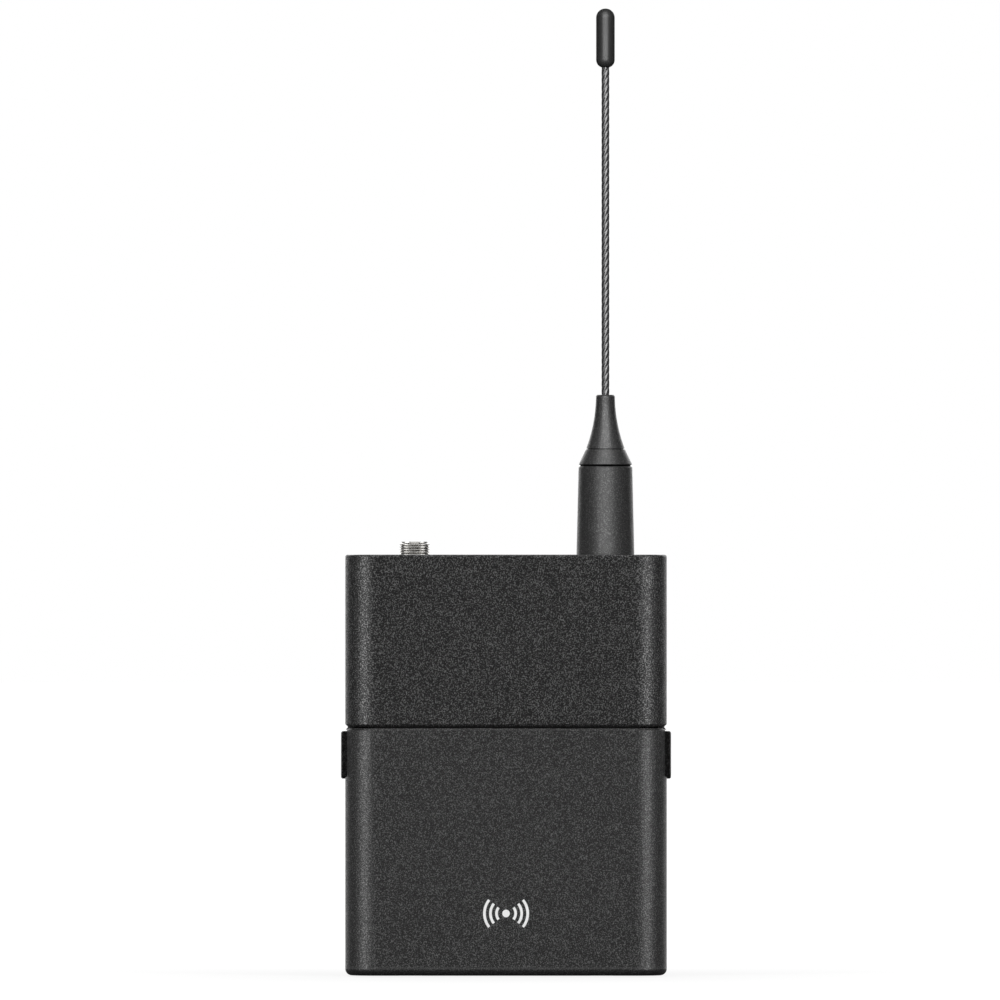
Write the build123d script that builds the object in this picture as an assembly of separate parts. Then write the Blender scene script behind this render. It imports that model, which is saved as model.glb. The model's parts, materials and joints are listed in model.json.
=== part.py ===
from build123d import *
import os

# Wireless bodypack transmitter, in millimetres.
# Origin at the middle of the housing's bottom; +X right, +Y back, +Z up.

# ---- driving dimensions ----
width = 64.0
depth = 20.0
height = 83.7
wall = 1.6
edge_radius = 6.5  # upright edges
foot_radius = 1.3  # edge round the bottom
rim_radius = 0.4  # edge round the top
gap = 0.3  # between pieces that move past each other
seam = 0.1  # half of the joint line between the two shells

split_z = 49.4  # joint line between front shell and battery cover
split_gap = 0.3
split_chamfer = 0.45

hinge_y, hinge_z = -7.8, 2.6  # battery cover's axis, along X
hinge_pin_radius = 0.5
hinge_fit = 0.05
knuckle_radius = 1.0
lip_radius, lip_reach = 2.85, 1.1  # cover's bottom lip: round about the hinge, and how far back
foot_sweep = 3.2  # room for the cover's foot to turn about the hinge
corner_sweep = 3.95  # the same at its rounded corners
lug_spans = ((-21.0, -17.0), (17.0, 21.0))
knuckle_spans = ((-26.5, -21.3), (-16.7, -11.5), (11.5, 16.7), (21.3, 26.5))

catch_low, catch_high = 39.1, 48.55
catch_front, catch_back = -5.3, 5.4
catch_proud = 0.85
catch_inner = 28.6  # inner face of the catch, from the middle
catch_spring_y, catch_spring_z = -1.2, 43.8
spring_seat_x = 23.6

cell_radius, cell_length = 7.25, 50.5  # AA
cell_low_z, cell_high_z = 10.2, 24.9
bay_half = 27.4  # inner faces of the contact plates
plate = 0.3
bay_wall_outer = 28.95
positive_tail, negative_tail = (2.4, 24.9), (1.0, 10.2)  # depth and height
connector_right = 20.8  # right face of the lead connector
shelf_low, shelf_high = 33.2, 34.4

fascia_front, fascia_back = -6.9, -5.7
fascia_half, fascia_top = 26.5, 51.5
control_z = 42.5
button_x = 14.0
button_length, button_height = 7.0, 4.4
button_proud = 0.6
button_travel = 0.4
lens_length, lens_height = 10.0, 3.0

board_front, board_back = 3.0, 4.0
board_half, board_neck_half = 28.0, 21.5
board_bottom, board_step, board_top = 36.0, 50.5, 77.0

panel_low, panel_high = 81.9, 83.5
panel_inset = wall + 0.1

jack_x = -18.2
jack_top = 86.3
jack_thread_radius, jack_pitch, jack_thread_depth = 3.0, 0.5, 0.28
jack_shank_radius = 2.75
jack_bore = 1.8
jack_shoulder_radius = 4.0
jack_body_low, jack_body_high = 62.0, 77.2

mute_x, mute_length, mute_half, mute_travel = -6.5, 4.0, 1.3, 3.0
mute_body_bottom = 75.5
pipe_x, pipe_radius = 6.5, 1.2

antenna_x = 19.8
base_foot_radius, base_head_radius, base_top = 5.75, 5.35, 101.3
ring_bottom, ring_top = 101.6, 104.7
ring_foot_radius, ring_head_radius = 5.3, 3.9
boot_bottom, boot_top = 104.82, 115.55
boot_foot_radius, boot_waist_radius, boot_head_radius = 3.82, 2.31, 1.875
boot_waist_z = 110.5
boot_mouth_radius = 0.85
stem_radius, core_radius = 3.5, 1.2
whip_radius, whip_bottom, whip_top = 0.775, 115.6, 182.5
tip_radius, tip_bottom, tip_top = 1.85, 180.7, 192.5

clip_wire_radius = 0.9
clip_leg_x, clip_pivot_y, clip_pivot_z = 15.0, 11.6, 66.0
clip_out_y, clip_heel_y, clip_lip_y = 15.2, 11.25, 13.4
clip_fit = 0.1

screw_x = 26.5
screw_heights = (54.5, 74.0)
frame_screw_x, frame_screw_z = 9.5, 37.6
board_screws = ((-11.7, 73.0), (12.0, 53.5))  # across and height
contact_spacing, contact_y, contact_radius = 6.0, 5.0, 1.4


# ---- shape helpers ----
def block(x0, x1, y0, y1, z0, z1):
    """A block between two corners."""
    middle = Pos((x0 + x1) / 2, (y0 + y1) / 2, (z0 + z1) / 2)
    return middle * Box(x1 - x0, y1 - y0, z1 - z0)


def rod(x, y, z0, z1, radius):
    """An upright cylinder."""
    return Pos(x, y, (z0 + z1) / 2) * Cylinder(radius, z1 - z0)


def rod_x(x0, x1, y, z, radius):
    """A cylinder along X."""
    return Pos((x0 + x1) / 2, y, z) * Rot(0, 90, 0) * Cylinder(radius, x1 - x0)


def rod_y(x, y0, y1, z, radius):
    """A cylinder along Y."""
    return Pos(x, (y0 + y1) / 2, z) * Rot(90, 0, 0) * Cylinder(radius, y1 - y0)


def slab(inset, z0, z1):
    """The housing's rounded plan, drawn in by an inset, between two heights."""
    plan = RectangleRounded(width - 2 * inset, depth - 2 * inset, edge_radius - inset)
    return Pos(0, 0, z0) * extrude(plan, z1 - z0)


def bar(x, z, length, height_z, y0, y1, radius):
    """A bar with rounded corners seen from the front, between two depths."""
    outline = RectangleRounded(length, height_z, radius)
    return Pos(x, y1, z) * Rot(90, 0, 0) * extrude(outline, y1 - y0)


def turned(outline, x):
    """A closed outline of radius and height, turned about an upright axis."""
    return Pos(x, 0, 0) * revolve(make_face(Plane.XZ * outline), Axis.Z)


def mirrored(piece):
    """The same piece on the left side."""
    return mirror(piece, Plane.YZ)


def top_edges(solid):
    """Edges that lie in the solid's highest plane."""
    return solid.edges().group_by(Axis.Z)[-1]


def bottom_edges(solid):
    """Edges that lie in the solid's lowest plane."""
    return solid.edges().group_by(Axis.Z)[0]


def around_hinge(radius):
    """A full-width cylinder about the battery cover's hinge axis."""
    return rod_x(-width, width, hinge_y, hinge_z, radius)


# ---- the housing's outside ----
def lower_block():
    """The outside below the joint line: rounded foot, chamfered top edge."""
    solid = slab(0, 0, split_z - split_gap / 2)
    solid = chamfer(top_edges(solid), split_chamfer)
    return fillet(bottom_edges(solid), foot_radius)


def upper_block():
    """The outside above the joint line: chamfered bottom edge, small rim edge."""
    solid = slab(0, split_z + split_gap / 2, height)
    solid = chamfer(bottom_edges(solid), split_chamfer)
    return fillet(top_edges(solid), rim_radius)


def catch_window(clearance):
    """The rear shell's half of the openings that the two side catches pass through."""
    tall = (catch_low - clearance, catch_high + clearance)
    right = block(catch_inner, width, 0, catch_back + clearance, *tall)
    return right + mirrored(right)


def catch_notch():
    """The cover's half of those openings; its lower edge is round about the hinge."""
    right = block(catch_inner, width, catch_front - gap, 1, 30, split_z + 1)
    right -= around_hinge(catch_sweep() - gap)
    return right + mirrored(right)


def catch_sweep():
    """Distance from the hinge to the catch's lower edge at the parting plane."""
    return ((catch_low - hinge_z) ** 2 + hinge_y**2) ** 0.5


# ---- shells ----
def hinge_lugs():
    """Two arms from the rear shell's floor that hold the hinge pin."""
    lugs = []
    post_front = hinge_y + foot_sweep + 0.1
    for low, high in lug_spans:
        lug = rod_x(low, high, hinge_y, hinge_z, knuckle_radius)
        lug += block(low, high, hinge_y, post_front + 1, hinge_z - 0.4, hinge_z + 0.5)
        lug += block(low, high, post_front, post_front + 1, wall - 0.4, hinge_z + 0.5)
        lugs.append(lug)
    return lugs[0] + lugs[1]


def clip_lugs():
    """Two bearing lugs on the back for the belt clip's wire ends."""
    lug = rod_x(10.6, 12.8, clip_pivot_y, clip_pivot_z, 2.2)
    lug += block(10.6, 12.8, 9.5, clip_pivot_y, clip_pivot_z - 2.2, clip_pivot_z + 3.4)
    return lug + mirrored(lug)


def rear_shell():
    """Back half of the housing, with the whole bottom inside the cover's foot."""
    core = slab(split_chamfer, 1, height - 1)
    shell = lower_block() + upper_block() + core
    shell -= slab(wall, wall, height + 1)
    shell &= block(-width, width, seam, depth, -1, height + 1)
    floor = slab(wall + gap, 0, wall) & block(-width, width, -depth, 1, -1, wall)
    corners = around_hinge(corner_sweep) - block(-28.5, 28.5, -depth, depth, -depth, depth)
    shell += floor - around_hinge(foot_sweep) - corners
    shell += hinge_lugs()
    shell += clip_lugs()
    for x in (-screw_x, screw_x):
        for z in screw_heights:
            shell += rod_y(x, board_back + 0.1, 9, z, 2.6)
            shell -= rod_y(x, 0, 11, z, 1.1)
            shell -= rod_y(x, 8.2, 11, z, 2.1)
    for x in (-frame_screw_x, frame_screw_x):
        boss = rod_y(x, board_front - 0.05, 9, frame_screw_z, 1.9)
        shell += boss - rod_y(x, 0, 8.6, frame_screw_z, 0.7)
    for x, z in board_screws:
        shell += rod_y(x, board_back, 9, z, 2.0) - rod_y(x, 3, 8.6, z, 0.7)
    shell -= catch_window(gap)
    shell -= rod_x(-27, 27, hinge_y, hinge_z, hinge_pin_radius + 0.02)
    shell -= rod_x(-27, 27, clip_pivot_y, clip_pivot_z, clip_wire_radius + clip_fit)
    shell -= bar(0, 41, 23.4, 34.4, 9.8, 11, 1.2)
    for x in contact_places():
        shell -= rod(x, contact_y, -1, wall + 1, contact_radius + 0.05)
    return shell


def front_shell():
    """Upper front of the housing, with four screw bosses and a lip inside each side seam."""
    shell = upper_block() - slab(wall, 0, height + 1)
    shell &= block(-width, width, -depth, -seam, 0, height + 1)
    for x in (-screw_x, screw_x):
        for z in screw_heights:
            boss = rod_y(x, -9, board_front - 0.2, z, 2.4)
            shell += boss & slab(0.5, 0, height)
            shell -= rod_y(x, board_front - 5.2, board_front, z, 1.6)
    inside = width / 2 - wall
    lip = block(inside - 0.7, inside + 0.2, -2, -seam, 51, 81)
    lip += block(inside - 0.7, inside - 0.06, -2, 1.4, 51, 81)
    shell += lip + mirrored(lip)
    shell -= catch_window(gap)
    return shell


def top_panel():
    """Plate inside the shells' rims that carries the jack, mute switch and antenna."""
    panel = slab(panel_inset, panel_low, panel_high)
    panel -= rod(jack_x, 0, panel_low - 1, height, jack_thread_radius + 0.1)
    panel -= rod(antenna_x, 0, panel_low - 1, height, stem_radius + 0.1)
    panel -= rod(pipe_x, 0, panel_low - 1, height, pipe_radius + 0.05)
    slot_end = mute_x + mute_length + mute_travel + gap
    slot_half = mute_half + gap
    panel -= block(mute_x - gap, slot_end, -slot_half, slot_half, panel_low - 1, height)
    return panel


def battery_cover():
    """Lower front of the housing, hinged along its bottom edge."""
    cover = lower_block() - slab(wall, -1, height)
    lip = lower_block() & around_hinge(lip_radius)
    cover += lip & block(-width, width, -depth, hinge_y + lip_reach, 0, wall)
    cover &= block(-width, width, -depth, -gap / 2, -1, height)
    top_reach = split_z - hinge_z + 0.05
    cover &= around_hinge(top_reach)
    heel = block(-width, width, hinge_y, 1, -1, hinge_z)
    cover -= heel - around_hinge(-hinge_y - gap / 2)
    for low, high in knuckle_spans:
        cover += rod_x(low, high, hinge_y, hinge_z, knuckle_radius)
        web = block(low, high, -9, hinge_y, 1, hinge_z + knuckle_radius)
        cover += web & slab(0.5, 0, height)
    for low, high in lug_spans:
        room = (low - gap, high + gap)
        cover -= rod_x(*room, hinge_y, hinge_z, knuckle_radius + gap)
        cover -= block(*room, hinge_y - knuckle_radius - 0.1, 0, -1, hinge_z + 4)
    cover -= rod_x(-27, 27, hinge_y, hinge_z, hinge_pin_radius + hinge_fit)
    cover -= catch_notch()
    ledge = block(width / 2 - wall - 0.4, width / 2 - 1, -1.5, -0.4, 34.9, 36.4)
    return cover + ledge + mirrored(ledge)


def battery_pad():
    """Foam strip on the inside of the cover, between the two cells."""
    cell_gap_z = (cell_low_z + cell_high_z) / 2
    inner_face = -depth / 2 + wall
    return bar(0, cell_gap_z, 34, 9, inner_face, inner_face + 0.7, 0.6)


def hinge_pin():
    """Steel pin of the battery cover."""
    end = knuckle_spans[-1][1]
    return rod_x(-end, end, hinge_y, hinge_z, hinge_pin_radius)


# ---- side catches ----
def catch_right():
    """Sliding catch: a tab outside, a flange inside, a hook nose and a spring boss."""
    tall = (catch_low, catch_high)
    tab = slab(-catch_proud, *tall)
    tab &= block(catch_inner, width, catch_front, catch_back, *tall)
    tab -= around_hinge(catch_sweep()) & block(0, width, -depth, 0, 0, height)
    outer = tab.faces().sort_by(Axis.X)[-1]
    tab = fillet(outer.edges(), 0.35)
    for groove in range(5):
        y = -2.6 + 1.3 * groove
        tab -= block(width / 2 + 0.6, width, y - 0.25, y + 0.25, catch_low + 1.5, catch_high - 1.5)
    flange = slab(wall + gap, 37.4, 49.2)
    flange &= block(catch_inner, width, -5.6, 4.6, 37.4, 49.2)
    nose = block(catch_inner, width / 2 - wall - 0.6, -3.2, -1.9, 35.1, 38)
    boss = rod_x(catch_inner - 1, catch_inner + 0.2, catch_spring_y, catch_spring_z, 0.9)
    return tab + flange + nose + boss


def catch_spring_right():
    """Compression spring between the frame and the right catch."""
    return coil(spring_seat_x, catch_inner, catch_spring_y, catch_spring_z, 1.4, 1.4, 5, 0.2)


def coil(x0, x1, y, z, radius0, radius1, turns, wire):
    """A round-wire coil along X, which may taper from one radius to another."""
    length = x1 - x0 - 2 * wire
    taper = 0.0 if radius0 == radius1 else (radius0 - radius1) / length
    angle = -taper * 45.0 if taper else 0.0
    path = Helix(length / turns, length, radius0, cone_angle=angle)
    start = Plane(origin=path @ 0, z_dir=path % 0)
    wound = sweep(start * Circle(wire), path=path)
    return Pos(x0 + wire, y, z) * Rot(0, 90, 0) * wound


# ---- battery bay ----
def cell(z, plus_side):
    """An AA cell along X; plus_side is +1 when its nub points to the right."""
    nub, rim = 1.0, 0.6
    body = cell_length - nub
    start = bay_half - 0.1 - cell_length
    can = rod_x(start, start + body, 0, z, cell_radius)
    can = chamfer(can.edges(), 0.5)
    can -= rod_x(start + body - rim, start + body, 0, z, 5.2)
    can += rod_x(start + body - 1.5, start + cell_length, 0, z, 2.7)
    return can if plus_side > 0 else mirrored(can)


def contact_plate(z, height_z, side):
    """A sprung-steel plate at the end of the bay, with a solder tail."""
    sheet = block(bay_half, bay_half + plate, -5, 5, z - height_z / 2, z + height_z / 2)
    dimple = rod_x(bay_half - 0.05, bay_half + plate, 0, z, 2.0)
    return sheet + dimple if side > 0 else mirrored(sheet + dimple)


def solder_tail(y, z):
    """A tail through the frame's right end wall, to which a lead is soldered."""
    return block(bay_half, bay_wall_outer + 0.3, y - 0.9, y + 0.9, z - 0.2, z + 0.2)


def series_link_plate():
    """Joins the two cells at the left end."""
    middle = (cell_low_z + cell_high_z) / 2
    return contact_plate(middle, cell_high_z - cell_low_z + 12, -1)


def contact_spring(z, side):
    """A tapering coil that presses on a cell's flat end."""
    spring = coil(bay_half - 4.1, bay_half, 0, z, 2.2, 4.0, 3, 0.3)
    return spring if side > 0 else mirrored(spring)


def bay_end():
    """Right end wall of the battery bay."""
    end = block(bay_half + plate + 0.05, bay_wall_outer, -3.6, 8.2, wall + 0.1, shelf_low)
    return end & slab(wall + 0.1, 0, height)


def inner_frame():
    """Frame with the bay's two ends, the shelf above the cells and the spring seats."""
    shelf = slab(wall + 0.1, shelf_low, shelf_high)
    shelf &= block(-bay_wall_outer, bay_wall_outer, fascia_back + 0.1, depth, 0, height)
    frame = shelf + mirrored(bay_end()) + bay_end()
    for y, z in (positive_tail, negative_tail):
        frame -= block(bay_half, width, y - 1.1, y + 1.1, z - 0.5, z + 0.5)
    seat = block(spring_seat_x - 1, spring_seat_x, -3.2, 0.3, shelf_high - 0.1, 46.4)
    seat += block(spring_seat_x - 5, spring_seat_x, -3.2, -2.0, shelf_high - 0.1, 40)
    frame += seat + mirrored(seat)
    for x in (-frame_screw_x, frame_screw_x):
        ear = block(x - 2.3, x + 2.3, board_front - 1.4, board_front - 0.1, shelf_high - 0.1, 40.1)
        frame += ear - rod_y(x, 0, 5, frame_screw_z, 1.0)
    return frame


def lead(y, z):
    """An insulated lead from a solder tail up to the board's connector."""
    x = bay_wall_outer + 0.75
    turn_z = shelf_high + 1.1
    mouth = (connector_right, y, 37.6)
    route = [(x, y, z + 0.3), (x, y, turn_z), (24.5, y, turn_z), (22.6, y, 37.6), mouth]
    path = FilletPolyline(*route, radius=[1.2, 1.5, 1.0])
    start = Plane(origin=path @ 0, z_dir=path % 0)
    return sweep(start * Circle(0.4), path=path)


# ---- controls ----
def control_fascia():
    """Plate behind the top of the cover, with the buttons and the status window."""
    middle = (shelf_high + fascia_top) / 2 + 0.1
    tall = fascia_top - shelf_high - 0.2
    fascia = bar(0, middle, 2 * fascia_half, tall, fascia_front, fascia_back, 1.5)
    for x in (-button_x, button_x):
        hole = (button_length + 2 * gap, button_height + 2 * gap)
        fascia -= bar(x, control_z, *hole, fascia_front - 1, fascia_back + 1, 1.8)
    fascia -= bar(0, control_z, lens_length, lens_height, fascia_front - 1, fascia_back + 1, 1.2)
    for x in (-fascia_half + 4, fascia_half - 4):
        fascia += rod_y(x, fascia_back - 0.2, -3.6, 49.0, 1.6)
    return fascia


def button(x):
    """A push button with a flange behind the fascia and a stem to its switch."""
    size = (button_length, button_height)
    cap = bar(x, control_z, *size, fascia_front - button_proud, fascia_back + 0.3, 1.5)
    front = cap.faces().sort_by(Axis.Y)[0]
    cap = fillet(front.edges(), 0.35)
    flange_size = (button_length + 2, button_height + 2)
    flange = bar(x, control_z, *flange_size, fascia_back + 0.25, fascia_back + 1, 2)
    stem = rod_y(x, fascia_back + 0.8, switch_tip() - 0.05, control_z, 1.3)
    return cap + flange + stem


def switch_tip():
    """Depth of the tact switches' plungers, a button's travel in front of their bodies."""
    return board_front - 3.6


def status_lens():
    """Clear window in the fascia."""
    window = (lens_length - 0.1, lens_height - 0.1)
    lens = bar(0, control_z, *window, fascia_front - 0.1, fascia_back, 1.1)
    flange = (lens_length + 2, lens_height + 2)
    return lens + bar(0, control_z, *flange, fascia_back, fascia_back + 0.6, 1.5)


def tact_switches():
    """Two switches behind the buttons."""
    pieces = []
    for x in (-button_x, button_x):
        tall = (control_z - 2.2, control_z + 2.2)
        body = block(x - 2.2, x + 2.2, board_front - 2.6, board_front, *tall)
        tip = switch_tip() + button_travel + 0.05
        pieces.append(body + rod_y(x, tip, board_front - 2.5, control_z, 1.0))
    return Compound(children=pieces)


# ---- circuit board ----
def main_pcb():
    """T-shaped circuit board, upright between the shells."""
    board = block(-board_half, board_half, board_front, board_back, board_step, board_top)
    half = board_neck_half
    board += block(-half, half, board_front, board_back, board_bottom, board_step)
    for x in (-screw_x, screw_x):
        for z in screw_heights:
            board -= rod_y(x, 0, 5, z, 3.0)
    for x, z in board_screws:
        board -= rod_y(x, 0, 5, z, 1.0)
    for x in (-frame_screw_x, frame_screw_x):
        board -= rod_y(x, 0, 5, frame_screw_z, 2.1)
    return board


def rf_shield():
    """Folded metal can over the radio section."""
    can = block(-9, 9, -0.4, board_front, 56, 71.5)
    can = fillet(can.edges().filter_by(Axis.Y), 1.0)
    return can - block(-8.7, 8.7, -0.1, board_front + 1, 56.3, 71.2)


def ic_packages():
    """Chips on the board: two under the can, three on the open board."""
    chips = []
    for x, z, size, thick in ((-4, 60, 6, 1.0), (4, 66, 5, 0.9), (-6, 47.2, 5, 0.9), (19.8, 63, 6, 1.0)):
        half = size / 2
        chips.append(block(x - half, x + half, board_front - thick, board_front, z - half, z + half))
    return Compound(children=chips)


def passives():
    """Rows of small resistors and capacitors on the open board."""
    parts = []
    for row, z in enumerate((40.4, 42.0, 43.6)):
        for column in range(4):
            x = -10.8 + 1.5 * column + 0.4 * row
            parts.append(block(x, x + 0.8, board_front - 0.5, board_front, z, z + 1.0))
    for column in range(6):
        x = 12.5 + 2.0 * column
        parts.append(block(x, x + 1.2, board_front - 0.7, board_front, 57.6, 58.5))
    return Compound(children=parts)


def crystal():
    """Quartz crystal in its metal can."""
    can = block(0.0, 3.2, board_front - 0.8, board_front, 37.0, 39.5)
    return fillet(can.edges().filter_by(Axis.Y), 0.4)


def lead_connector():
    """Two-way connector for the battery leads."""
    return block(connector_right - 5, connector_right, 0.2, board_front, 36.2, 38.8)


def led_chips():
    """Three light-emitting diodes: two behind the status lens, one for the light pipe."""
    places = ((-2.6, control_z), (2.6, control_z), (pipe_x, 75.0))
    chips = []
    for x, z in places:
        chips.append(block(x - 0.8, x + 0.8, board_front - 0.7, board_front, z - 0.5, z + 0.5))
    return Compound(children=chips)


# ---- jack ----
def jack_bushing():
    """Nickel bushing with a fine outside thread and a shoulder under the top panel."""
    shoulder_top = panel_low - 0.4
    root = jack_thread_radius - jack_thread_depth
    outline = [
        (jack_bore, jack_body_high + 0.1),
        (jack_shoulder_radius, jack_body_high + 0.1),
        (jack_shoulder_radius, shoulder_top),
        (jack_shank_radius, shoulder_top),
        (jack_shank_radius, panel_high),
    ]
    z = panel_high + 0.05
    while z < jack_top - 0.75 * jack_pitch:
        outline.append((root, z))
        outline.append((jack_thread_radius, z + 0.35 * jack_pitch))
        outline.append((jack_thread_radius, z + 0.6 * jack_pitch))
        z += jack_pitch
    outline += [(root, z), (root, jack_top), (jack_bore + 0.2, jack_top), (jack_bore, jack_top - 0.2)]
    return turned(Polyline(*outline, close=True), jack_x)


def jack_body():
    """Plastic body of the socket, soldered to the board."""
    body = block(jack_x - 4, jack_x + 4, -4, board_front, jack_body_low, jack_body_high)
    body = chamfer(body.edges().filter_by(Axis.Z), 0.6)
    return body - rod(jack_x, 0, jack_body_low + 1, height, 3.0)


def jack_contacts():
    """Spring leaves that touch the plug's tip and ring."""
    leaves = []
    for side, low, high in ((-1, 64.5, 76.5), (1, 68.0, 76.5)):
        x = jack_x + side * 2.35
        leaf = block(x - 0.12, x + 0.12, -0.9, 0.9, low, high)
        leaves.append(leaf)
    return Compound(children=leaves)


def jack_seal():
    """Rubber washer between the bushing's shoulder and the top panel."""
    ring = rod(jack_x, 0, panel_low - 0.38, panel_low - 0.02, 3.9)
    return ring - rod(jack_x, 0, 80, 83, jack_thread_radius + 0.05)


# ---- mute switch and light pipe ----
def mute_knob():
    """Slider in the top panel's slot, with a ridged top and a flange below."""
    bottom, top = panel_low - 0.9, panel_high - 0.05
    knob = block(mute_x, mute_x + mute_length, -mute_half, mute_half, bottom, top)
    for groove in range(3):
        x = mute_x + 1.0 + groove
        knob -= block(x - 0.2, x + 0.2, -mute_half, mute_half, panel_high - 0.35, panel_high)
    flange_end = mute_x + mute_length + 1.8
    return knob + block(mute_x - 1.8, flange_end, -2.2, 2.2, bottom, panel_low - 0.2)


def mute_switch_body():
    """Slide switch below the mute knob, on the board's front."""
    return block(-9.6, 4.6, -2.6, board_front, mute_body_bottom, panel_low - 1.1)


def link_light_pipe():
    """Clear rod from the board's diode up through the top panel."""
    pipe = rod(pipe_x, 0, 74.0, panel_high + 0.05, pipe_radius)
    foot = block(pipe_x - 1.2, pipe_x + 1.2, 0, board_front - 0.9, 74.0, 76.2)
    return pipe + foot


# ---- antenna ----
def antenna_base():
    """Tapering sleeve with a stem through the top panel."""
    sleeve = [
        (core_radius + 0.1, 77.2),
        (stem_radius, 77.2),
        (stem_radius, panel_high),
        (base_foot_radius, panel_high),
        (base_foot_radius, height + 0.6),
        (base_head_radius, base_top - 0.2),
        (base_head_radius - 0.2, base_top),
        (core_radius + 0.1, base_top),
    ]
    return turned(Polyline(*sleeve, close=True), antenna_x)


def antenna_seal():
    """Black ring in the groove above the sleeve."""
    ring = rod(antenna_x, 0, base_top, ring_bottom, base_head_radius - 0.35)
    return ring - rod(antenna_x, 0, base_top - 1, ring_bottom + 1, core_radius + 0.1)


def antenna_ring():
    """Cone between the sleeve and the boot."""
    cone = [
        (core_radius + 0.1, ring_bottom),
        (ring_foot_radius - 0.15, ring_bottom),
        (ring_foot_radius, ring_bottom + 0.15),
        (ring_head_radius, ring_top - 0.05),
        (ring_head_radius - 0.1, ring_top),
        (core_radius + 0.1, ring_top),
    ]
    return turned(Polyline(*cone, close=True), antenna_x)


def antenna_boot():
    """Concave taper that the whip comes out of."""
    neck_radius = boot_foot_radius - 0.25
    neck = Line((core_radius + 0.1, ring_top), (neck_radius, ring_top))
    step = Line(neck @ 1, (neck_radius, boot_bottom))
    lip = Line(step @ 1, (boot_foot_radius, boot_bottom + 0.06))
    head = (boot_head_radius, boot_top - 0.25)
    side = ThreePointArc(lip @ 1, (boot_waist_radius, boot_waist_z), head)
    rim = Line(head, (boot_head_radius - 0.25, boot_top))
    mouth = Polyline(
        rim @ 1,
        (boot_mouth_radius, boot_top),
        (boot_mouth_radius, boot_top - 0.6),
        (core_radius + 0.1, boot_top - 0.6),
        neck @ 0,
    )
    return turned(neck + step + lip + side + rim + mouth, antenna_x)


def antenna_core():
    """Brass rod inside the sleeve and boot, from the feed clip to the whip."""
    return rod(antenna_x, 0, 70.5, boot_top - 0.7, core_radius)


def antenna_nut():
    """Hexagon nut under the top panel."""
    nut = Pos(antenna_x, 0, 79.0) * extrude(RegularPolygon(5.2, 6), 2.2)
    return nut - rod(antenna_x, 0, 78, 82, stem_radius + 0.05)


def antenna_washer():
    """Washer between the nut and the top panel."""
    ring = rod(antenna_x, 0, 81.25, panel_low - 0.02, 5.4)
    return ring - rod(antenna_x, 0, 80, 83, stem_radius + 0.05)


def antenna_feed_clip():
    """Sprung clip from the board round the foot of the antenna core."""
    clip = block(antenna_x - 2.2, antenna_x + 2.2, board_front - 0.3, board_front, 70, 74.5)
    for side in (-1, 1):
        near = antenna_x + side * (core_radius + 0.05)
        far = antenna_x + side * (core_radius + 0.35)
        clip += block(min(near, far), max(near, far), -1.0, board_front, 71, 74)
    return clip


def antenna_whip():
    """Flexible whip, with a ball at its foot about which it bends."""
    stem = rod(antenna_x, 0, whip_bottom + whip_radius, whip_top, whip_radius)
    return stem + Pos(antenna_x, 0, whip_bottom + whip_radius) * Sphere(whip_radius)


def antenna_tip():
    """Moulded capsule on the whip's end."""
    capsule = rod(antenna_x, 0, tip_bottom, tip_top, tip_radius)
    capsule = fillet(top_edges(capsule), tip_radius - 0.02)
    capsule = fillet(bottom_edges(capsule), tip_radius * 0.85)
    capsule -= rod(antenna_x, 0, tip_bottom - 1, whip_top, whip_radius)
    return capsule


# ---- back and fasteners ----
def belt_clip():
    """Bent-wire clip: two legs from the bearings to a rounded lip at the bottom."""
    right = [
        (clip_leg_x, clip_lip_y, 16.6),
        (clip_leg_x, clip_heel_y, 23.0),
        (clip_leg_x, clip_out_y, 31.0),
        (clip_leg_x, clip_out_y, 58.5),
        (clip_leg_x, clip_pivot_y, clip_pivot_z),
        (10.2, clip_pivot_y, clip_pivot_z),
    ]
    left = [(-x, y, z) for x, y, z in right]
    route = left[::-1] + right
    bends = [1.8, 8.0, 8.0, 2.5, 3.8]
    path = FilletPolyline(*route, radius=bends + bends[::-1])
    start = Plane(origin=path @ 0, z_dir=path % 0)
    return sweep(start * Circle(clip_wire_radius), path=path)


def rear_label():
    """Blank label in a shallow recess on the back."""
    return bar(0, 41, 23.0, 34.0, 9.8, 9.95, 1.0)


def screw(x, z, head_y, tip_y, head_radius, shank_radius):
    """A pan-head screw along Y with a cross recess; its tip is towards -Y."""
    direction = 1 if head_y > tip_y else -1
    head_end = head_y - direction * 1.1
    body = rod_y(x, min(head_y, head_end), max(head_y, head_end), z, head_radius)
    body += rod_y(x, min(tip_y, head_end), max(tip_y, head_end), z, shank_radius)
    slot_end = head_y - direction * 0.6
    y0, y1 = min(head_y, slot_end), max(head_y, slot_end)
    half, thin = head_radius * 0.6, head_radius * 0.14
    body -= block(x - half, x + half, y0, y1, z - thin, z + thin)
    return body - block(x - thin, x + thin, y0, y1, z - half, z + half)


def housing_screws():
    """Four screws from the back that hold the two shells together."""
    places = [(x, z) for x in (-screw_x, screw_x) for z in screw_heights]
    return Compound(children=[screw(x, z, 9.4, -1.6, 2.0, 0.85) for x, z in places])


def threaded_inserts():
    """Brass inserts in the front shell's bosses."""
    inserts = []
    for x in (-screw_x, screw_x):
        for z in screw_heights:
            sleeve = rod_y(x, board_front - 5.1, board_front - 0.3, z, 1.58)
            inserts.append(sleeve - rod_y(x, -5, 5, z, 0.9))
    return Compound(children=inserts)


def frame_screws():
    """Two screws that hold the inner frame to the rear shell."""
    places = (-frame_screw_x, frame_screw_x)
    head_y = board_front - 2.5
    return Compound(children=[screw(x, frame_screw_z, head_y, 8.0, 1.7, 0.68) for x in places])


def pcb_screws():
    """Two screws that hold the circuit board to the rear shell."""
    head_y = board_front - 1.1
    return Compound(children=[screw(x, z, head_y, 8.0, 1.7, 0.68) for x, z in board_screws])


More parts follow.
